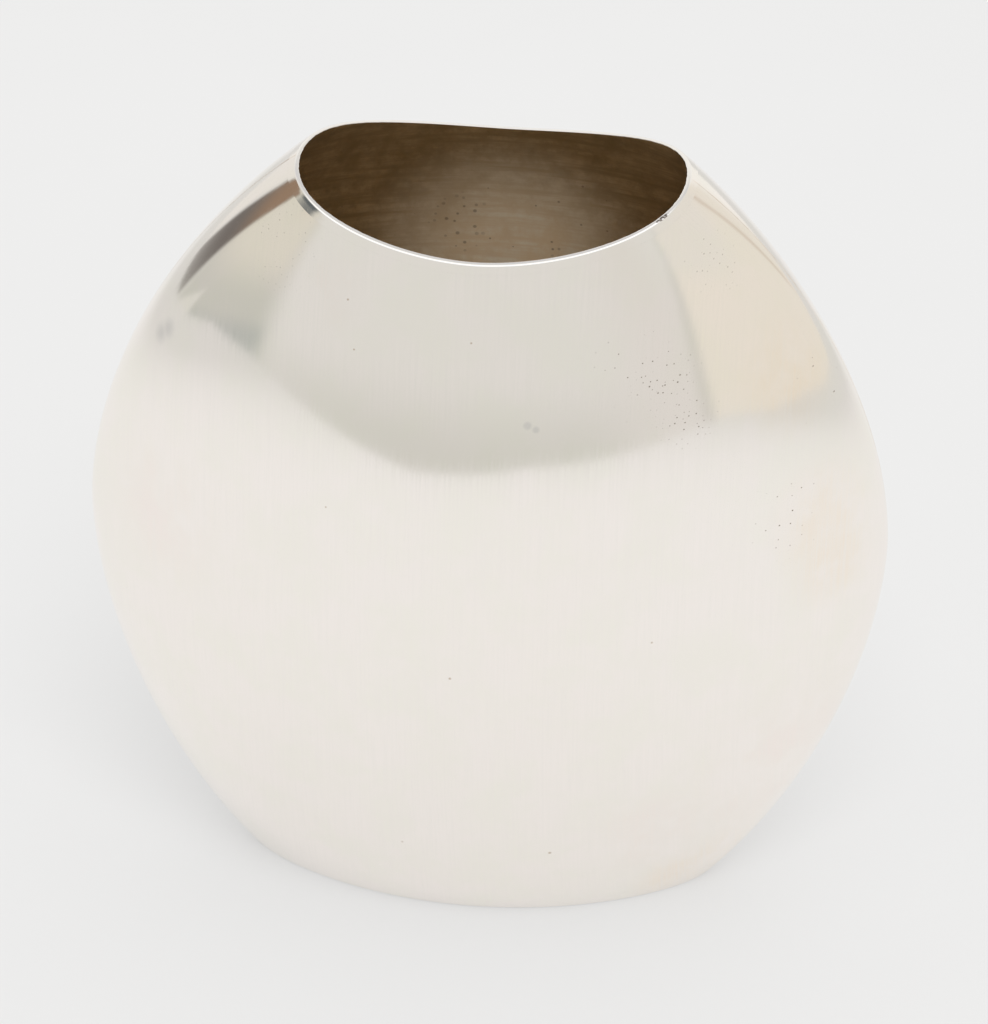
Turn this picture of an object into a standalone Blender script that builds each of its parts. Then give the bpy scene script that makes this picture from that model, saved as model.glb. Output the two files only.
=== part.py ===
"""Silver cream jug: a flattened, lens-shaped body with an open oval mouth and no handle.

Two dished halves meet along the jug's narrow sides, an oval plate closes the bottom,
and a square wire finishes the saddle-shaped mouth.
The origin is on the table under the middle of the jug, +X along its width, -Y to its front, +Z up.
"""
import math

import bpy
from mathutils import Vector

# Driving dimensions, in metres
WIDTH = 0.100
DEPTH = 0.054
HEIGHT = 0.099            # to the two raised ends of the mouth
WIDEST_LEVEL = 0.050
BASE_WIDTH = 0.0594
BASE_DEPTH = 0.0256
MOUTH_WIDTH = 0.0474
MOUTH_DEPTH = 0.0344
MOUTH_DIP = 0.0037        # the mouth's front and back lie this far below its ends
WALL = 0.0007
PLATE_THICKNESS = 0.0010
RIM_WIRE_HEIGHT = 0.0012
RIM_WIRE_ROUNDING = 0.00015
SOLDER_GAP = 0.0003       # between two pieces that are soldered together

# Shape numbers: a power of 2 is an ellipse, less is slimmer towards the ends
OUTLINE_POWER = 1.77      # the jug's outline seen from the front
PROFILE_POWER = 1.88      # its outline seen from the side
DIP_POWER = 1.8
# Pinch of a level section's narrow ends: 0 is an ellipse, 1 a lens between two parabolas
PINCH_BASE = 0.45
PINCH_MIDDLE = 0.60
PINCH_MOUTH = -0.20

# Mesh fineness
COLUMNS = 96
BODY_ROWS = 24

TRIM = 0.0015             # the walls are made this much too long below and cut level
CUTTER_SIZE = 0.200

SILVER = (0.86, 0.82, 0.75)
MOUTH_SILVER = (0.90, 0.87, 0.82)
BASE_SILVER = (0.80, 0.75, 0.68)


def reach(height):
    """How far a height is from the widest level: 0 there, 1 at the base and at the mouth's ends."""
    if height < WIDEST_LEVEL:
        return (WIDEST_LEVEL - height) / WIDEST_LEVEL
    return (height - WIDEST_LEVEL) / (HEIGHT - WIDEST_LEVEL)


def bulge(height, widest, base, mouth, power):
    """Size across the body at a height: two superellipse arcs that meet at the widest level."""
    end = base if height < WIDEST_LEVEL else mouth
    narrowing = (1 - (end / widest) ** power) * reach(height) ** power
    return widest * (1 - narrowing) ** (1 / power)


def pinch(height):
    """How much a level section's narrow ends are drawn to an edge."""
    end = PINCH_BASE if height < WIDEST_LEVEL else PINCH_MOUTH
    return PINCH_MIDDLE + (end - PINCH_MIDDLE) * reach(height) ** 2


def wall_point(angle, height):
    """Point on the outer surface, at an angle around the jug from +X and a height."""
    half_width = bulge(height, WIDTH, BASE_WIDTH, MOUTH_WIDTH, OUTLINE_POWER) / 2
    half_depth = bulge(height, DEPTH, BASE_DEPTH, MOUTH_DEPTH, PROFILE_POWER) / 2
    side = math.sin(angle)
    drawn_in = 1 - pinch(height) * (1 - abs(side))
    return Vector((half_width * math.cos(angle), half_depth * side * drawn_in, height))


def wall_normal(angle, height):
    """Outward normal of the outer surface, from neighbouring points."""
    turn = 0.001
    rise = 0.00001
    around = wall_point(angle + turn, height) - wall_point(angle - turn, height)
    upward = wall_point(angle, height + rise) - wall_point(angle, height - rise)
    return around.cross(upward).normalized()


def levelness(angle, height):
    """Level part of the outward normal: 1 where the wall is upright, less where it leans."""
    return wall_normal(angle, height).to_2d().length


def inner_point(angle, height):
    """Point on the inner surface, straight through the wall from an outer one."""
    return wall_point(angle, height) - wall_normal(angle, height) * WALL


def saddle(across):
    """Height of the cut that makes the mouth, at a distance across the jug: low in the middle."""
    share = abs(across) / (MOUTH_WIDTH / 2)
    return HEIGHT - MOUTH_DIP * (1 - share ** DIP_POWER)


def mouth_height(angle, surface=wall_point):
    """Height on the wall at which one of its surfaces meets the saddle-shaped cut."""
    height = HEIGHT
    for _ in range(16):
        reached = surface(angle, height)
        height += (saddle(reached.x) - reached.z) / 2
    return height


def below_mouth(angle, distance):
    """Height of the point that lies a distance below the mouth's edge, measured along the wall."""
    edge = mouth_height(angle)
    return edge - distance * levelness(angle, edge)


def angles():
    """Angles of the columns of points around the jug."""
    return [math.tau * column / COLUMNS for column in range(COLUMNS)]


def plain_material(name, colour, roughness):
    """Metal material with one colour all over."""
    material = bpy.data.materials.new(name)
    material.use_nodes = True
    shader = material.node_tree.nodes["Principled BSDF"]
    shader.inputs["Base Color"].default_value = (*colour, 1)
    shader.inputs["Metallic"].default_value = 1
    shader.inputs["Roughness"].default_value = roughness
    return material


def new_object(name, points, faces, collection, material):
    """Smooth-shaded object from points and faces."""
    mesh = bpy.data.meshes.new(name)
    mesh.from_pydata(points, [], faces)
    mesh.materials.append(material)
    mesh.shade_smooth()
    mesh.set_sharp_from_angle(angle=math.radians(40))
    made = bpy.data.objects.new(name, mesh)
    collection.objects.link(made)
    return made


def loft(lines, closed):
    """Points and faces that join the same-sized rings whose points the lines cross, one line an angle."""
    size = len(lines[0])
    points = [point for line in lines for point in line]
    faces = []
    for column in range(len(lines)):
        here = column * size
        there = (column + 1) % len(lines) * size
        for row in range(size if closed else size - 1):
            above = (row + 1) % size
            faces.append((here + row, there + row, there + above, here + above))
    return points, faces


def half_space(name, side, collection):
    """Cutter that keeps one side of the jug: front (side -1) or back (side 1), above the table."""
    middle = (0, side * (CUTTER_SIZE + SOLDER_GAP) / 2, CUTTER_SIZE / 2)
    bpy.ops.mesh.primitive_cube_add(size=CUTTER_SIZE, location=middle)
    cutter = bpy.context.object
    cutter.name = name
    for owner in cutter.users_collection:
        owner.objects.unlink(cutter)
    collection.objects.link(cutter)
    cutter.hide_render = True
    cutter.display_type = "WIRE"
    return cutter


def half_shell(name, side, parts, cutters):
    """One dished half of the body, cut level at the foot and flat along the side seams."""
    material = plain_material(name + "_silver", SILVER, 0.22)
    lines = []
    for angle in angles():
        top = below_mouth(angle, RIM_WIRE_HEIGHT + SOLDER_GAP)
        heights = [-TRIM + (top + TRIM) * row / BODY_ROWS for row in range(BODY_ROWS + 1)]
        lines.append([wall_point(angle, height) for height in heights])
    shell = new_object(name, *loft(lines, closed=False), parts, material)
    sheet = shell.modifiers.new("sheet", "SOLIDIFY")
    sheet.thickness = WALL
    sheet.offset = -1
    sheet.use_even_offset = True
    sheet.use_quality_normals = True
    cut = shell.modifiers.new("seam and foot", "BOOLEAN")
    cut.operation = "INTERSECT"
    cut.object = half_space(name + "_cutter", side, cutters)
    return shell


def rim_wire(parts):
    """Wire around the mouth, flush with both sides of the wall, its top cut to the saddle."""
    material = plain_material("rim_silver", MOUTH_SILVER, 0.18)
    sections = []
    for angle in angles():
        low = below_mouth(angle, RIM_WIRE_HEIGHT)
        outer_top = wall_point(angle, mouth_height(angle))
        inner_top = inner_point(angle, mouth_height(angle, inner_point))
        sections.append([wall_point(angle, low), outer_top, inner_top, inner_point(angle, low)])
    wire = new_object("rim_wire", *loft(sections, closed=True), parts, material)
    rounding = wire.modifiers.new("rounded edges", "BEVEL")
    rounding.width = RIM_WIRE_ROUNDING
    rounding.segments = 2
    rounding.limit_method = "ANGLE"
    rounding.angle_limit = math.radians(40)
    return wire


def plate_outline(height):
    """Points around the base plate at a height, a solder gap inside the leaning walls."""
    outline = []
    for angle in angles():
        outward = wall_normal(angle, height)
        level = outward.to_2d().length
        inset = (WALL + SOLDER_GAP) / level ** 2
        shift = Vector((outward.x, outward.y, 0)) * inset
        outline.append(wall_point(angle, height) - shift)
    return outline


def base_plate(parts):
    """Flat oval plate let into the foot of the two halves."""
    material = plain_material("base_silver", BASE_SILVER, 0.30)
    edge = list(zip(plate_outline(0), plate_outline(PLATE_THICKNESS)))
    points, faces = loft(edge, closed=False)
    faces.append(tuple(reversed(range(0, 2 * COLUMNS, 2))))
    faces.append(tuple(range(1, 2 * COLUMNS, 2)))
    return new_object("base_plate", points, faces, parts, material)


def main():
    """Build the jug in an empty scene."""
    for old in list(bpy.data.objects):
        bpy.data.objects.remove(old, do_unlink=True)
    parts = bpy.data.collections.new("cream_jug")
    cutters = bpy.data.collections.new("cutters")
    bpy.context.scene.collection.children.link(parts)
    bpy.context.scene.collection.children.link(cutters)
    half_shell("front_shell", -1, parts, cutters)
    half_shell("back_shell", 1, parts, cutters)
    base_plate(parts)
    rim_wire(parts)


main()
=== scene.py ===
"""Looks of the silver cream jug: smooth silver pieces, their materials, the room and the camera.

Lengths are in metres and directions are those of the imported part: +X right, -Y to the front, +Z up.
"""
import math

import bpy
import numpy as np
from mathutils import Matrix, Vector


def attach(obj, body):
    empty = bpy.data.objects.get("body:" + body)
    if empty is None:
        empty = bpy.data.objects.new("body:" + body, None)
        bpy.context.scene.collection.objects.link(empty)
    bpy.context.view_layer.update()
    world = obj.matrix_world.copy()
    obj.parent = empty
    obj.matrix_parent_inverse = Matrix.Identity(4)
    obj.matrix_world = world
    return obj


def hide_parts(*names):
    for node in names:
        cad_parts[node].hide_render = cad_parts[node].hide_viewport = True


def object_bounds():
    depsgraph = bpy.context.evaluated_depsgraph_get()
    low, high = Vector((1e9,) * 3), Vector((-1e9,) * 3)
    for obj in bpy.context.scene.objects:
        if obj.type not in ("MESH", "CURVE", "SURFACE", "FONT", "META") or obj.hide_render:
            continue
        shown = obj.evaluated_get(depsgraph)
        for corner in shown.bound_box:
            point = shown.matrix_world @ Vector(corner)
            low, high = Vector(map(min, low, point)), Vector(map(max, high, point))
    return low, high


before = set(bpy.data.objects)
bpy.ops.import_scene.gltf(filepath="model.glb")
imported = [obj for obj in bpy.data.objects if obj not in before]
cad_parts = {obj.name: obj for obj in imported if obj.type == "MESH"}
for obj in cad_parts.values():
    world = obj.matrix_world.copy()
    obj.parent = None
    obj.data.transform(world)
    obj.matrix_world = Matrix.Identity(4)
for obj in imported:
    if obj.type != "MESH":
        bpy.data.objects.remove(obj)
CAD_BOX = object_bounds()

# The jug's form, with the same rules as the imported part
WIDTH, DEPTH, HEIGHT = CAD_BOX[1] - CAD_BOX[0]
WIDEST_LEVEL = 0.505 * HEIGHT
BASE_WIDTH = 0.594 * WIDTH
BASE_DEPTH = 0.474 * DEPTH
MOUTH_WIDTH = 0.474 * WIDTH
MOUTH_DEPTH = 0.637 * DEPTH
MOUTH_DIP = 0.0037
OUTLINE_POWER = 1.77
PROFILE_POWER = 1.88
DIP_POWER = 1.8
PINCH_BASE = 0.45
PINCH_MIDDLE = 0.60
PINCH_MOUTH = -0.20

WALL = 0.0007
RIM_WIRE_HEIGHT = 0.0012
ARRIS_ENDS = 0.00016      # rounding of the mouth's outer edge at its two ends
ARRIS_GAIN = 0.00003      # how much rounder it is at the front and back
INNER_ARRIS = 0.00012
RIM_FLAT_ENDS = 0.00050   # width of the filed flat at the mouth's two ends
RIM_FLAT_GAIN = 0.00035   # how much wider it is at the front and back
FILED_TILT = 0.00006      # how far the flat falls towards the outside
FILED_UNEVEN = 0.000012
FOOT_ROUNDING = 0.00030
SEAM_ROUNDING = 0.00006
HAIRLINE = 0.000002       # half of the space that a soldered joint leaves
PLATE_THICKNESS = 0.0010
PLATE_EASE = 0.00015      # how far the plate's lower edge is softened
PLATE_TOP_EASE = 0.0001

# Mesh fineness
HALF_COLUMNS = 180
BODY_ROWS = 110
RING_COLUMNS = 960
ARC_POINTS = 6
SOLVING_ROUNDS = 24
SHARP_EDGE = math.radians(35)


def reach(height):
    """0 at the widest level, 1 at the base and at the mouth's ends."""
    below = (WIDEST_LEVEL - height) / WIDEST_LEVEL
    above = (height - WIDEST_LEVEL) / (HEIGHT - WIDEST_LEVEL)
    return np.where(height < WIDEST_LEVEL, below, above)


def bulge(height, widest, base, mouth, power):
    """Size across the body: two superellipse arcs that meet at the widest level."""
    end = np.where(height < WIDEST_LEVEL, base, mouth)
    narrowing = (1 - (end / widest) ** power) * reach(height) ** power
    return widest * (1 - narrowing) ** (1 / power)


def pinch(height):
    """How much a level section's narrow ends are drawn to an edge."""
    end = np.where(height < WIDEST_LEVEL, PINCH_BASE, PINCH_MOUTH)
    return PINCH_MIDDLE + (end - PINCH_MIDDLE) * reach(height) ** 2


def wall_point(angle, height):
    """Points on the outer surface, at angles around the jug from +X and heights."""
    angle, height = np.broadcast_arrays(np.asarray(angle, float), np.asarray(height, float))
    half_width = bulge(height, WIDTH, BASE_WIDTH, MOUTH_WIDTH, OUTLINE_POWER) / 2
    half_depth = bulge(height, DEPTH, BASE_DEPTH, MOUTH_DEPTH, PROFILE_POWER) / 2
    side = np.sin(angle)
    drawn_in = 1 - pinch(height) * (1 - abs(side))
    return np.stack([half_width * np.cos(angle), half_depth * side * drawn_in, height], axis=-1)


def wall_normal(angle, height):
    """Outward normals of the outer surface, from neighbouring points."""
    turn = 0.0005
    rise = 0.00001
    around = wall_point(angle + turn, height) - wall_point(angle - turn, height)
    upward = wall_point(angle, height + rise) - wall_point(angle, height - rise)
    normal = np.cross(around, upward)
    return normal / np.linalg.norm(normal, axis=-1, keepdims=True)


def sunk_point(angle, height, depth):
    """Points at a depth under the outer surface; the wall's thickness gives the inner surface."""
    return wall_point(angle, height) - wall_normal(angle, height) * np.asarray(depth)[..., None]


def saddle(across):
    """Height of the cut that makes the mouth, at a distance across the jug."""
    share = abs(across) / (MOUTH_WIDTH / 2)
    return HEIGHT - MOUTH_DIP * (1 - share ** DIP_POWER)


def mouth_height(angle, depth):
    """Wall height at which the surface at a depth meets the saddle-shaped cut."""
    height = np.full_like(angle, HEIGHT)
    for _ in range(SOLVING_ROUNDS):
        reached = sunk_point(angle, height, np.full_like(angle, depth))
        height = height + (saddle(reached[..., 0]) - reached[..., 2]) / 2
    return height


def foot_height(angle, depth):
    """Wall height at which the surface at a depth meets the table."""
    height = np.zeros_like(angle)
    for _ in range(SOLVING_ROUNDS):
        height = height - sunk_point(angle, height, np.full_like(angle, depth))[..., 2] / 2
    return height


def below_mouth(angle, distance):
    """Wall height a distance below the mouth's outer edge, measured along the wall."""
    edge = mouth_height(angle, 0.0)
    return edge - distance * np.linalg.norm(wall_normal(angle, edge)[..., :2], axis=-1)


def rounded_off(distance, radius):
    """How deep a rounded edge lies under a surface, at a distance from that edge."""
    near = np.clip(radius - distance, 0, radius)
    return radius - np.sqrt(radius ** 2 - near ** 2)


def mesh_object(name, points, faces, slots=None):
    """Smooth object; slots gives the material index of each face, 0 where it is left out."""
    mesh = bpy.data.meshes.new(name)
    mesh.from_pydata(points.reshape(-1, 3).tolist(), [], faces)
    if slots is not None:
        mesh.polygons.foreach_set("material_index", slots)
    mesh.shade_smooth()
    mesh.set_sharp_from_angle(angle=SHARP_EDGE)
    made = bpy.data.objects.new(name, mesh)
    bpy.context.scene.collection.objects.link(made)
    return made


def grid_faces(columns, rows, wrap_columns, wrap_rows):
    """Quads over a grid of points stored column by column."""
    faces = []
    for column in range(columns if wrap_columns else columns - 1):
        here = column * rows
        there = (column + 1) % columns * rows
        for row in range(rows if wrap_rows else rows - 1):
            above = (row + 1) % rows
            faces.append((here + row, there + row, there + above, here + above))
    return faces


def body_half(name, side):
    """Front (side -1) or back (side 1) half: outer and inner surface, joints and rounded foot."""
    fine = np.array([0, 0.15, 0.35, 0.6, 0.85, 1.1]) * SEAM_ROUNDING / (0.2 * DEPTH)
    middle = np.linspace(2.5 * fine[-1], math.pi - 2.5 * fine[-1], HALF_COLUMNS)
    turn = np.concatenate([fine, middle, math.pi - fine[::-1]])
    angle = (turn if side > 0 else turn + math.pi)[:, None]
    foot = foot_height(angle, 0.0)
    top = below_mouth(angle, RIM_WIRE_HEIGHT + HAIRLINE)
    foot_rows = np.array([0, 0.05, 0.15, 0.3, 0.5, 0.75, 1.0]) * FOOT_ROUNDING
    share = np.linspace(0, 1, BODY_ROWS)[None, 1:]
    wall_rows = foot_rows[-1] + share * (top - foot_rows[-1])
    outer_height = np.concatenate([foot + foot_rows, wall_rows], axis=1)
    distance = abs(wall_point(angle, outer_height)[..., 1])
    depth = np.maximum(rounded_off(outer_height, FOOT_ROUNDING), rounded_off(distance, SEAM_ROUNDING))
    outer = sunk_point(angle, outer_height, depth)
    inner_foot = foot_height(angle, WALL)
    inner_height = top + (inner_foot - top) * np.linspace(0, 1, BODY_ROWS)[None, :]
    inner = sunk_point(angle, inner_height, np.full_like(inner_height, WALL))
    points = np.concatenate([outer, inner], axis=1)
    points[..., 1] += side * HAIRLINE
    columns, rows = points.shape[:2]
    outer_rows = outer.shape[1]
    faces = grid_faces(columns, rows, False, True)
    slots = [1 if outer_rows <= i % rows < rows - 1 else 0 for i in range(len(faces))] + [0, 0]
    for column in (0, columns - 1):
        start = column * rows
        rim = [start + row for row in range(rows)]
        faces.append(tuple(rim if column else reversed(rim)))
    return mesh_object(name, points, faces, slots)


def corner_arc(corner, towards_start, towards_end, radius):
    """Points of a rounded corner between two straight runs."""
    start = towards_start - corner
    end = towards_end - corner
    start = corner + start / np.linalg.norm(start, axis=-1, keepdims=True) * radius
    end = corner + end / np.linalg.norm(end, axis=-1, keepdims=True) * radius
    steps = np.linspace(0, 1, ARC_POINTS)
    return [(1 - t) ** 2 * start + 2 * t * (1 - t) * corner + t ** 2 * end for t in steps]


def mouth_wire(name):
    """Wire around the mouth, its flat top cut to the saddle, its two arrises rounded and polished."""
    angle = np.linspace(0, math.tau, RING_COLUMNS, endpoint=False)
    low = below_mouth(angle, RIM_WIRE_HEIGHT)
    outer_low = wall_point(angle, low)
    inner_low = sunk_point(angle, low, np.full_like(low, WALL))
    outer_top = wall_point(angle, mouth_height(angle, 0.0))
    inner_top = sunk_point(angle, mouth_height(angle, WALL), np.full_like(low, WALL))
    top_width = np.linalg.norm(inner_top - outer_top, axis=-1)
    waves = np.sin(37 * angle + 1.0) + np.sin(61 * angle + 2.3) + np.sin(113 * angle + 0.7)
    flat = RIM_FLAT_ENDS + RIM_FLAT_GAIN * np.sin(angle) ** 2 + FILED_UNEVEN * waves
    inner_top = outer_top + (inner_top - outer_top) * np.minimum(1, flat / top_width)[:, None]
    outer_top[:, 2] -= FILED_TILT
    path = [outer_low, (outer_low + outer_top) / 2]
    outer_arris = ARRIS_ENDS + ARRIS_GAIN * np.sin(angle) ** 2
    path += corner_arc(outer_top, outer_low, inner_top, outer_arris[:, None])
    path += corner_arc(inner_top, outer_top, inner_low, INNER_ARRIS)
    path += [(inner_top + inner_low) / 2, inner_low]
    points = np.stack(path, axis=1)
    rows = points.shape[1]
    faces = grid_faces(RING_COLUMNS, rows, True, True)
    row_slots = [2, 2] + [0] * (rows - 5) + [1, 1, 1]
    return mesh_object(name, points, faces, row_slots * RING_COLUMNS)


def foot_plate(name):
    """Oval plate that closes the foot, with a hairline to the walls and softened edges."""
    angle = np.linspace(0, math.tau, RING_COLUMNS, endpoint=False)
    levels = (
        (0.0, PLATE_EASE), (PLATE_EASE, 0.0),
        (PLATE_THICKNESS - PLATE_TOP_EASE, 0.0), (PLATE_THICKNESS, PLATE_TOP_EASE),
    )
    rings = []
    for level, ease in levels:
        normal = wall_normal(angle, np.full_like(angle, level))
        across = np.linalg.norm(normal[:, :2], axis=-1)
        inset = (WALL + 2 * HAIRLINE) / across ** 2 + ease
        ring = wall_point(angle, level) - normal * inset[:, None]
        ring[:, 2] = level
        rings.append(ring)
    points = np.stack(rings, axis=1)
    faces = grid_faces(RING_COLUMNS, len(rings), True, False)
    bottom = [column * len(rings) for column in range(RING_COLUMNS)]
    faces.append(tuple(reversed(bottom)))
    faces.append(tuple(first + len(rings) - 1 for first in bottom))
    return mesh_object(name, points, faces)


class Nodes:
    """Short ways to add and join shader nodes in one material or world."""

    def __init__(self, tree):
        self.tree = tree

    def add(self, kind, **settings):
        node = self.tree.nodes.new(kind)
        for key, value in settings.items():
            setattr(node, key, value)
        return node

    def put(self, value, socket):
        if isinstance(value, bpy.types.NodeSocket):
            self.tree.links.new(value, socket)
        elif isinstance(value, tuple) and len(value) == 3 and socket.type == "RGBA":
            socket.default_value = (*value, 1)
        else:
            socket.default_value = value

    def math(self, operation, first, second=0.0):
        node = self.add("ShaderNodeMath", operation=operation)
        self.put(first, node.inputs[0])
        self.put(second, node.inputs[1])
        return node.outputs[0]

    def product(self, *amounts):
        """Several amounts multiplied together."""
        total = amounts[0]
        for amount in amounts[1:]:
            total = self.math("MULTIPLY", total, amount)
        return total

    def rising(self, start, gain, amount):
        """A value that goes up from its start by a gain times an amount."""
        node = self.add("ShaderNodeMath", operation="MULTIPLY_ADD")
        self.put(amount, node.inputs[0])
        self.put(gain, node.inputs[1])
        self.put(start, node.inputs[2])
        return node.outputs[0]

    def parts(self, vector):
        """X, Y and Z of a vector."""
        node = self.add("ShaderNodeSeparateXYZ")
        self.put(vector, node.inputs[0])
        return tuple(node.outputs)

    def bump(self, height, strength, distance):
        """Normal for a surface with a small relief."""
        node = self.add("ShaderNodeBump")
        self.put(height, node.inputs["Height"])
        self.put(strength, node.inputs["Strength"])
        self.put(distance, node.inputs["Distance"])
        return node.outputs[0]

    def step(self, value, low, high):
        """Smooth rise from 0 at low to 1 at high; it falls instead where low is the larger."""
        node = self.add("ShaderNodeMapRange", interpolation_type="SMOOTHSTEP")
        falls = low > high
        self.put(value, node.inputs["Value"])
        self.put(min(low, high), node.inputs["From Min"])
        self.put(max(low, high), node.inputs["From Max"])
        self.put(1.0 if falls else 0.0, node.inputs["To Min"])
        self.put(0.0 if falls else 1.0, node.inputs["To Max"])
        return node.outputs[0]

    def window(self, value, low, high, softness):
        """1 between low and high, 0 outside, with soft edges."""
        rise = self.step(value, low - softness, low + softness)
        fall = self.step(value, high + softness, high - softness)
        return self.math("MULTIPLY", rise, fall)

    def mix(self, factor, first, second):
        node = self.add("ShaderNodeMix", data_type="RGBA")
        self.put(factor, node.inputs[0])
        self.put(first, node.inputs[6])
        self.put(second, node.inputs[7])
        return node.outputs[2]

    def noise(self, vector, scale, detail=2.0, roughness=0.5):
        node = self.add("ShaderNodeTexNoise")
        self.put(vector, node.inputs["Vector"])
        self.put(scale, node.inputs["Scale"])
        self.put(detail, node.inputs["Detail"])
        self.put(roughness, node.inputs["Roughness"])
        return node.outputs["Fac"]

    def scaled(self, vector, scale, offset=(0, 0, 0)):
        node = self.add("ShaderNodeMapping")
        self.put(vector, node.inputs["Vector"])
        self.put(scale, node.inputs["Scale"])
        self.put(offset, node.inputs["Location"])
        return node.outputs[0]


def new_material(name):
    """Material with a Principled shader, and its node helper and object coordinates."""
    material = bpy.data.materials.new(name)
    material.use_nodes = True
    nodes = Nodes(material.node_tree)
    shader = material.node_tree.nodes["Principled BSDF"]
    place = nodes.add("ShaderNodeTexCoord").outputs["Object"]
    return material, nodes, shader, place


def upright_lines(nodes, place, width, length):
    """Brush lines that run up the jug, along X on its broad faces and along Y on its narrow ones."""
    broad = nodes.noise(nodes.scaled(place, (1 / width, 0, 1 / length)), 1.0, 3.0, 0.6)
    narrow = nodes.noise(nodes.scaled(place, (0, 1 / width, 1 / length), (0, 7, 3)), 1.0, 3.0, 0.6)
    _, toward_back, _ = nodes.parts(nodes.add("ShaderNodeNewGeometry").outputs["Normal"])
    facing = nodes.step(nodes.math("ABSOLUTE", toward_back), 0.35, 0.65)
    joined = nodes.add("ShaderNodeMix", data_type="FLOAT")
    nodes.put(facing, joined.inputs[0])
    nodes.put(narrow, joined.inputs[2])
    nodes.put(broad, joined.inputs[3])
    return joined.outputs[0]


def pits(nodes, place, spacing, share, size):
    """Small round pits seen from the front: some cells of a flat pattern hold one at their middle."""
    across, _, height = nodes.parts(place)
    front = nodes.add("ShaderNodeCombineXYZ")
    nodes.put(across, front.inputs["X"])
    nodes.put(height, front.inputs["Y"])
    cells = nodes.add("ShaderNodeTexVoronoi", feature="F1", voronoi_dimensions="2D")
    nodes.put(front.outputs[0], cells.inputs["Vector"])
    nodes.put(1 / spacing, cells.inputs["Scale"])
    random = nodes.add("ShaderNodeSeparateColor")
    nodes.put(cells.outputs["Color"], random.inputs[0])
    chosen = nodes.math("LESS_THAN", random.outputs[0], share)
    radius = nodes.rising(0.3 * size / spacing, 0.7 * size / spacing, random.outputs[1])
    core = nodes.step(nodes.math("DIVIDE", cells.outputs["Distance"], radius), 1.2, 0.6)
    return nodes.product(chosen, core)


def near_places(nodes, place, places, core=0.3):
    """1 close to any of some places on the jug, each with its radius, fading to 0 at the radius."""
    total = None
    for *where, radius in places:
        gap = nodes.add("ShaderNodeVectorMath", operation="DISTANCE")
        nodes.put(place, gap.inputs[0])
        nodes.put(tuple(where), gap.inputs[1])
        close = nodes.step(gap.outputs["Value"], radius, radius * core)
        total = close if total is None else nodes.math("MAXIMUM", total, close)
    return total


def on_wall(marks, side, depth=0.0):
    """Places on the front (side -1) or back (side 1) wall for marks given as across, height, radius."""
    places = []
    for across, height, radius in marks:
        half_width = bulge(height, WIDTH, BASE_WIDTH, MOUTH_WIDTH, OUTLINE_POWER) / 2
        point = sunk_point(side * math.acos(across / half_width), height, depth)
        places.append((*point.tolist(), radius))
    return places


# Marks on the front wall: distance across the jug, height and radius
PIT_CLUSTERS = ((0.0225, 0.0810, 0.0050), (0.0255, 0.0765, 0.0050))
PIT_STRAYS = (
    (0.0400, 0.0765, 0.0050), (0.0205, 0.0830, 0.0080), (0.0380, 0.0610, 0.0070), (0.0415, 0.0735, 0.0060),
)
FINE_PITS = ((-0.0235, 0.0930, 0.0070), (0.0270, 0.0930, 0.0060))
TAN_SPECKS = (
    (-0.0015, 0.0430, 0.00024), (0.0225, 0.0475, 0.00018), (0.0105, 0.0135, 0.00030),
    (-0.0080, 0.0140, 0.00018), (0.0, 0.0865, 0.00017), (-0.0170, 0.0640, 0.00016),
    (-0.0150, 0.0895, 0.00020), (-0.0140, 0.0840, 0.00017),
)
SOFT_SMUDGES = ((-0.0395, 0.0770, 0.0019), (-0.0385, 0.0780, 0.0019))
GREY_SMUDGES = ((0.0070, 0.0770, 0.0007), (0.0080, 0.0765, 0.0006))
WARM_STAINS = (
    (0.0370, 0.0780, 0.0095), (0.0420, 0.0590, 0.0100), (0.0435, 0.0530, 0.0085),
    (0.0310, 0.0050, 0.0100), (0.0260, 0.0040, 0.0080),
)
ROSY_STAINS = (
    (0.0230, 0.0150, 0.0110), (-0.0170, 0.0900, 0.0060), (-0.0380, 0.0560, 0.0130),
    (0.0390, 0.0220, 0.0190),
)


def seam_line(nodes, place):
    """Faint broken stain along the soldered joints on the jug's two narrow sides."""
    _, from_joint, _ = nodes.parts(place)
    close = nodes.step(nodes.math("ABSOLUTE", from_joint), 0.00030, 0.00008)
    broken = nodes.step(nodes.noise(place, 350, 3.0, 0.6), 0.35, 0.70)
    return nodes.product(close, broken, 0.6)


def all_pits(nodes, place):
    """Pits of the front's right shoulder, close together or strayed, and faint ones near the mouth."""
    dense = nodes.product(
        near_places(nodes, place, on_wall(PIT_CLUSTERS, -1)), pits(nodes, place, 0.00080, 0.55, 0.00011))
    stray = nodes.product(
        near_places(nodes, place, on_wall(PIT_STRAYS, -1)), pits(nodes, place, 0.0014, 0.40, 0.00011))
    fine = nodes.product(
        near_places(nodes, place, on_wall(FINE_PITS, -1)), pits(nodes, place, 0.0007, 0.50, 0.00008), 0.5)
    return nodes.math("MAXIMUM", nodes.math("MAXIMUM", dense, stray), fine)


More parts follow.
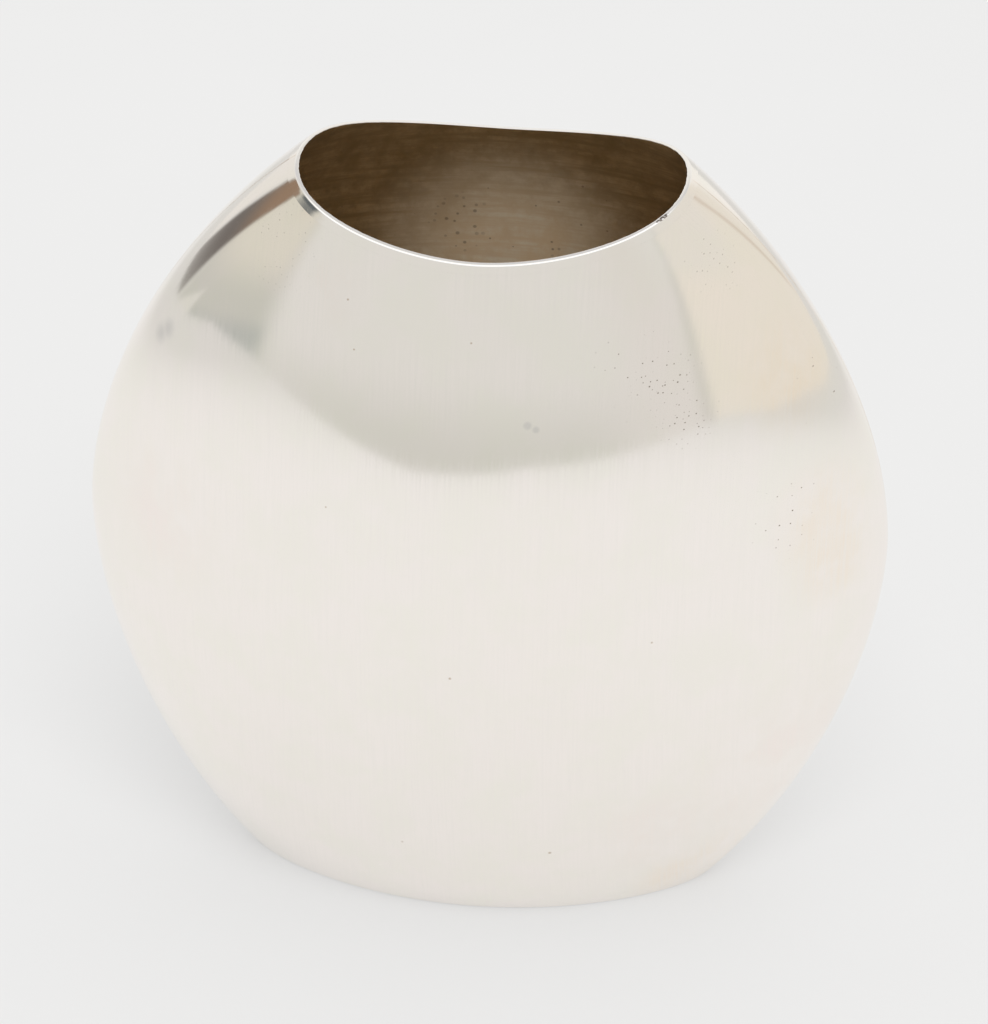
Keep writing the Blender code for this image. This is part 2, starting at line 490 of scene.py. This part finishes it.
def satin_silver():
    """Outside of the jug: polished silver with fine upright brush lines, faint tarnish and pits."""
    material, nodes, shader, place = new_material("satin_silver")
    lines = upright_lines(nodes, place, 0.00026, 0.011)
    clouds = nodes.noise(place, 130, 3.0, 0.6)
    patches = nodes.step(clouds, 0.35, 0.70)
    brushed = nodes.step(lines, 0.35, 0.70)
    spots = all_pits(nodes, place)
    colour = nodes.mix(patches, (0.990, 0.938, 0.894), (0.968, 0.936, 0.864))

    def tint(amount, shade):
        nonlocal colour
        colour = nodes.mix(amount, colour, shade)

    def near(marks, core=0.3):
        return near_places(nodes, place, on_wall(marks, -1), core)

    tint(nodes.product(near(WARM_STAINS, 0.1), nodes.step(clouds, 0.25, 0.65)), (0.975, 0.885, 0.780))
    tint(nodes.product(near(ROSY_STAINS, 0.1), patches), (0.985, 0.905, 0.860))
    tint(nodes.product(brushed, 0.6), (0.966, 0.922, 0.872))
    tint(seam_line(nodes, place), (0.86, 0.74, 0.62))
    tint(near(GREY_SMUDGES), (0.85, 0.82, 0.79))
    tint(near(SOFT_SMUDGES, 0.0), (0.82, 0.79, 0.76))
    tint(near(TAN_SPECKS), (0.70, 0.60, 0.50))
    tint(nodes.product(spots, 0.75), (0.18, 0.14, 0.10))
    nodes.put(colour, shader.inputs["Base Color"])
    shader.inputs["Metallic"].default_value = 1.0
    roughness = nodes.rising(0.08, 0.04, brushed)
    nodes.put(nodes.math("MAXIMUM", roughness, nodes.product(spots, 0.5)), shader.inputs["Roughness"])
    relief = nodes.math("SUBTRACT", nodes.product(lines, 0.3), spots)
    nodes.put(nodes.bump(relief, 0.25, 0.00002), shader.inputs["Normal"])
    return material


# Marks inside the back wall: distance across the jug, height and radius
# Painted light: the middle of the back wall, painted paler where light falls in through the mouth
PAINTED_LIGHT_INSIDE = ((0.0, 0.0750, 0.0216),)
INSIDE_SPECKS = ((-0.0065, 0.0805, 0.0055), (-0.0060, 0.0770, 0.0025), (0.0050, 0.0770, 0.0025))


def tarnished_silver():
    """Inside of the jug: dull brown silver with level streaks and dark specks, painted paler low down and
    in the middle of the back wall where light falls in through the mouth, so darker near the mouth: painted
    light and shade.
    """
    material, nodes, shader, place = new_material("tarnished_silver")
    streaks = nodes.noise(nodes.scaled(place, (70, 70, 1100)), 1.0, 5.0, 0.65)
    clouds = nodes.noise(place, 300, 5.0, 0.7)
    mottle = nodes.product(nodes.step(streaks, 0.30, 0.65), nodes.step(clouds, 0.30, 0.70))
    dark = nodes.mix(mottle, (0.22, 0.143, 0.060), (0.41, 0.280, 0.145))
    pale = nodes.mix(mottle, (0.88, 0.735, 0.535), (1.00, 0.945, 0.800))
    _, _, height = nodes.parts(place)
    # Painted light and shade: paler low down and round the middle of the back wall, where light falls in
    # through the mouth, and darker towards the mouth
    painted_light_low = nodes.step(height, 0.076, 0.066)
    painted_light = nodes.math("MAXIMUM", near_places(nodes, place, on_wall(PAINTED_LIGHT_INSIDE, 1, WALL), 0.15), painted_light_low)
    speckled = near_places(nodes, place, on_wall(INSIDE_SPECKS, 1, WALL))
    clustered = nodes.product(speckled, pits(nodes, place, 0.0012, 0.50, 0.00028))
    specks = nodes.math("MAXIMUM", clustered, pits(nodes, place, 0.0030, 0.15, 0.00018))
    colour = nodes.mix(nodes.product(specks, 0.50), nodes.mix(painted_light, dark, pale), (0.16, 0.10, 0.06))
    nodes.put(colour, shader.inputs["Base Color"])
    shader.inputs["Metallic"].default_value = 0.5
    nodes.put(nodes.rising(0.40, 0.20, streaks), shader.inputs["Roughness"])
    nodes.put(nodes.bump(streaks, 0.3, 0.00004), shader.inputs["Normal"])
    return material


# Painted shade of a small long nick on the mouth's edge: its middle, and its directions divided by its half
# sizes
NICK_SHADE_MIDDLE = (0.0211, -0.0095, 0.0984)
NICK_SHADE_ALONG = (440.0, 690.0, 0.0)
NICK_SHADE_ACROSS = (3400.0, -2200.0, 0.0)


def nick_shade(nodes, place):
    """Dark lens shape painted on the mouth's edge as the shade in a small nick, broken up as a scratch is.
    """
    offset = nodes.add("ShaderNodeVectorMath", operation="SUBTRACT")
    nodes.put(place, offset.inputs[0])
    nodes.put(NICK_SHADE_MIDDLE, offset.inputs[1])
    squares = []
    for direction in (NICK_SHADE_ALONG, NICK_SHADE_ACROSS):
        part = nodes.add("ShaderNodeVectorMath", operation="DOT_PRODUCT")
        nodes.put(offset.outputs[0], part.inputs[0])
        nodes.put(direction, part.inputs[1])
        squares.append(nodes.product(part.outputs["Value"], part.outputs["Value"]))
    lens = nodes.step(nodes.math("ADD", *squares), 1.2, 0.8)
    return nodes.product(lens, nodes.step(nodes.noise(place, 2600), 0.35, 0.60))


def polished_edge():
    """The mouth's cut edge: smoother and greyer than the walls, with file marks and the painted shade of a
    small nick.
    """
    material, nodes, shader, place = new_material("polished_edge")
    marks = nodes.noise(place, 900, 3.0, 0.6)
    colour = nodes.mix(marks, (0.980, 0.955, 0.925), (0.945, 0.915, 0.880))
    # Painted shade: the dark lens of a small nick on the edge
    nodes.put(nodes.mix(nick_shade(nodes, place), colour, (0.15, 0.12, 0.10)), shader.inputs["Base Color"])
    shader.inputs["Metallic"].default_value = 1.0
    nodes.put(nodes.rising(0.08, 0.10, marks), shader.inputs["Roughness"])
    return material


def floor_material():
    """Pale table that glows a little, as a light table does, so shadows stay faint; the glow is a painted
    pool of light, brightest near the jug and fading further out.
    """
    material, nodes, shader, place = new_material("pale_table")
    grain = nodes.noise(place, 30, 2.0, 0.5)
    nodes.put(nodes.mix(grain, (0.32, 0.32, 0.32), (0.33, 0.33, 0.33)), shader.inputs["Base Color"])
    # Painted pool of light: the glow fades with distance from the jug
    away = nodes.add("ShaderNodeVectorMath", operation="LENGTH")
    nodes.put(place, away.inputs[0])
    painted_pool_fade = nodes.step(away.outputs["Value"], 0.20, 0.80)
    nodes.put(nodes.mix(painted_pool_fade, (1.0, 1.0, 1.0), (0.65, 0.65, 0.63)), shader.inputs["Emission Color"])
    shader.inputs["Emission Strength"].default_value = 0.455
    shader.inputs["Roughness"].default_value = 0.9
    shader.inputs["Specular IOR Level"].default_value = 0.1
    return material


# The table's front edge, from left to right; the silver shows it as the start of the room
TABLE_FRONT = (
    (-4.0, -0.42), (-1.0, -0.45), (-0.45, -0.365), (-0.11, -0.325), (0.07, -0.390),
    (0.30, -0.360), (0.60, -0.355), (0.75, -0.23), (1.6, -0.05), (4.0, 1.6),
)
STAGE_SIZE = 4.0


def level_sheet(name, corners, material):
    """Level sheet of the stage with the given outline, at the jug's foot."""
    mesh = bpy.data.meshes.new(name)
    mesh.from_pydata([(x, y, 0) for x, y in corners], [], [tuple(range(len(corners)))])
    mesh.materials.append(material)
    sheet = bpy.data.objects.new(name, mesh)
    bpy.context.scene.collection.objects.link(sheet)
    return sheet


def make_floor():
    """Table up to its front edge, and the same floor beyond it, which the silver doesn't reflect."""
    material = floor_material()
    level_sheet("table", [*TABLE_FRONT, (STAGE_SIZE, STAGE_SIZE), (-STAGE_SIZE, STAGE_SIZE)], material)
    beyond = [(-STAGE_SIZE, -STAGE_SIZE), (STAGE_SIZE, -STAGE_SIZE), *reversed(TABLE_FRONT)]
    level_sheet("floor_beyond", beyond, material).visible_glossy = False


# Tones of the room. The ceiling is a light one, brighter than white.
PALE_WALL = (0.728, 0.725, 0.705)
WALL_FOOT = (0.600, 0.603, 0.565)
DUSKY_WALL = (0.715, 0.700, 0.675)
WARM_WALL = (0.792, 0.757, 0.688)
WALL_CORNER = (0.42, 0.42, 0.36)
SHADED_WALL = (0.690, 0.670, 0.600)
SHADED_FOOT = (0.565, 0.565, 0.530)
LOW_SHADOW = (0.40, 0.43, 0.42)
SIDE_WINDOW = (0.80, 0.78, 0.75)
DARK_OPENING = (0.165, 0.150, 0.140)
RUSTY_CURTAIN = (0.29, 0.200, 0.140)
ROSY_HEM = (0.74, 0.56, 0.46)
SLATE_BLIND = (0.11, 0.125, 0.135)
LIGHT_GAP = (0.78, 0.77, 0.74)
BACK_WINDOW = (0.900, 0.890, 0.860)
BACK_WALL = (0.640, 0.640, 0.650)
BROWN_POST = (0.40, 0.27, 0.18)
CEILING = (1.15, 1.15, 1.15)
BACKDROP = (0.85, 0.85, 0.85)
BACKDROP_FOOT = (0.715, 0.715, 0.705)


class Room:
    """Tones of a studio by azimuth, from the front towards the right, and elevation, in degrees."""

    def __init__(self, nodes):
        self.nodes = nodes
        x, y, z = nodes.parts(nodes.add("ShaderNodeTexCoord").outputs["Generated"])
        toward_front = nodes.product(y, -1.0)
        self.azimuth = nodes.math("DEGREES", nodes.math("ARCTAN2", x, toward_front))
        self.elevation = nodes.math("DEGREES", nodes.math("ARCSINE", z))
        self.below_ceiling = nodes.step(self.elevation, 45.0, 32.0)
        self.tone = nodes.mix(nodes.step(self.elevation, -13.5, 1.0), WALL_FOOT, PALE_WALL)

    def lean(self):
        """How far the walls' upright edges lean out with height, because the walls are close."""
        curved = self.nodes.product(self.elevation, self.elevation, 0.015)
        return self.nodes.math("ADD", curved, self.nodes.product(self.elevation, 0.18))

    def across(self, low, high, softness):
        return self.nodes.window(self.azimuth, low, high, softness)

    def upward(self, low, high, softness):
        return self.nodes.window(self.elevation, low, high, softness)

    def patch(self, tone, *amounts):
        """Part of the room below the ceiling that has its own tone."""
        amount = self.nodes.product(self.below_ceiling, *amounts)
        self.tone = self.nodes.mix(amount, self.tone, tone)


def right_side(nodes, room):
    """Dusky front of the right side, then a warm wall with a soft grey corner at its near end."""
    room.patch(DUSKY_WALL, room.across(35.0, 60.0, 14.0))
    leaning = nodes.math("SUBTRACT", room.azimuth, room.lean())
    faded = nodes.math("MAXIMUM", nodes.step(room.elevation, 34.0, 16.0), 0.6)
    room.patch(WARM_WALL, nodes.window(leaning, 56.5, 165.0, 2.0), faded)
    room.patch(WALL_CORNER, nodes.window(leaning, 53.5, 56.5, 2.0), faded, 0.32)


def left_side(nodes, room):
    """Shaded wall on the left, then a dark opening with a curtain above, and a window beyond it."""
    shaded = nodes.window(nodes.math("ADD", room.azimuth, room.lean()), -114.0, -63.0, 6.0)
    room.patch(SHADED_FOOT, shaded)
    room.patch(SHADED_WALL, shaded, nodes.step(room.elevation, 3.0, 14.0))
    room.patch(LOW_SHADOW, room.across(-98.0, -64.0, 3.0), room.upward(-8.0, -0.5, 2.0), 0.75)
    room.patch(SIDE_WINDOW, nodes.step(room.azimuth, -134.0, -138.0))
    opening = nodes.product(room.across(-133.5, -114.5, 2.0), room.upward(-4.0, 26.0, 1.2))
    room.patch(DARK_OPENING, opening, nodes.step(room.elevation, -14.0, 8.0))
    room.patch(RUSTY_CURTAIN, opening, room.upward(13.0, 30.0, 5.0))
    room.patch(ROSY_HEM, room.across(-94.0, -76.0, 3.0), room.upward(23.6, 25.4, 0.6), 0.25)
    room.patch(SLATE_BLIND, room.across(-113.0, -86.0, 4.0), room.upward(26.6, 38.0, 2.4))
    slant = nodes.math("SUBTRACT", room.elevation, nodes.product(room.azimuth, 0.33))
    room.patch(LIGHT_GAP, nodes.step(slant, 36.2, 35.0), room.across(-113.0, -98.5, 1.0), 0.6)


def far_side(nodes, room):
    """Bright window behind the jug with a greyer wall above it, and the post at the window's right."""
    behind = nodes.step(nodes.math("ABSOLUTE", room.azimuth), 150.0, 158.0)
    room.patch(BACK_WINDOW, behind, nodes.step(room.elevation, 27.0, 22.0))
    room.patch(BACK_WALL, behind, nodes.step(room.elevation, 26.0, 31.0))
    room.patch(BROWN_POST, room.across(141.5, 144.5, 1.2), room.upward(1.0, 21.0, 2.0), 0.35)


def make_room():
    """World: a soft pale studio whose walls differ a little, as the silver shows them."""
    world = bpy.data.worlds.new("studio")
    bpy.context.scene.world = world
    world.use_nodes = True
    nodes = Nodes(world.node_tree)
    room = Room(nodes)
    right_side(nodes, room)
    left_side(nodes, room)
    far_side(nodes, room)
    lit = nodes.mix(nodes.step(room.elevation, 42.0, 56.0), room.tone, CEILING)
    backdrop = nodes.mix(nodes.step(room.elevation, -2.0, 35.0), BACKDROP_FOOT, BACKDROP)
    seen = nodes.add("ShaderNodeLightPath").outputs["Is Camera Ray"]
    background = world.node_tree.nodes["Background"]
    nodes.put(nodes.mix(seen, lit, backdrop), background.inputs["Color"])
    background.inputs["Strength"].default_value = 1.0


LAMP_STRENGTH = 1.3
LAMP_SPREAD = math.radians(34)
LAMP_DIRECTION = (-0.20, 0.75, -1.0)


def make_light():
    """Broad soft lamp above the front right, for the soft shadow; the silver doesn't mirror it."""
    lamp = bpy.data.lights.new("softbox", "SUN")
    lamp.energy = LAMP_STRENGTH
    lamp.angle = LAMP_SPREAD
    made = bpy.data.objects.new("softbox", lamp)
    bpy.context.scene.collection.objects.link(made)
    made.visible_glossy = False
    made.rotation_euler = Vector(LAMP_DIRECTION).to_track_quat("-Z", "Y").to_euler()


CAMERA_AZIMUTH = math.radians(5.81)
CAMERA_ELEVATION = math.radians(30.56)
CAMERA_ROLL = math.radians(0.99)
CAMERA_DISTANCE = 0.6
CAMERA_PIVOT = (0.0, 0.0, 0.048)
CAMERA_AIM = (0.0007, 0.0014, 0.0502)
CAMERA_LENS = 168.7


def make_camera():
    """Camera a little right of the front and well above the jug, with a long lens."""
    level = math.cos(CAMERA_ELEVATION)
    back = (math.sin(CAMERA_AZIMUTH) * level, -math.cos(CAMERA_AZIMUTH) * level, math.sin(CAMERA_ELEVATION))
    camera = bpy.data.objects.new("camera", bpy.data.cameras.new("camera"))
    bpy.context.scene.collection.objects.link(camera)
    camera.location = Vector(CAMERA_PIVOT) + Vector(back) * CAMERA_DISTANCE
    turn = (Vector(CAMERA_AIM) - camera.location).to_track_quat("-Z", "Y").to_matrix()
    camera.rotation_euler = (turn @ Matrix.Rotation(CAMERA_ROLL, 3, "Z")).to_euler()
    camera.data.lens = CAMERA_LENS
    camera.data.sensor_width = 36.0
    camera.data.clip_start = 0.01
    camera.data.clip_end = 20.0
    bpy.context.scene.camera = camera


def main():
    """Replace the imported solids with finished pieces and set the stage."""
    outside = satin_silver()
    inside = tarnished_silver()
    edge = polished_edge()
    pieces = {
        "front_shell": (body_half("front_body", -1), "body_silver", (outside, inside)),
        "back_shell": (body_half("back_body", 1), "body_silver", (outside, inside)),
        "rim_wire": (mouth_wire("mouth_wire"), "rim_silver", (edge, inside, outside)),
        "base_plate": (foot_plate("foot_plate"), "base_silver", (inside,)),
    }
    for node, (piece, slot, materials) in pieces.items():
        for material in materials:
            piece.data.materials.append(material)
        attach(piece, "root")
        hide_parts(node)
    make_floor()
    make_room()
    make_light()
    make_camera()
    bpy.context.scene.view_settings.view_transform = "Standard"


main()
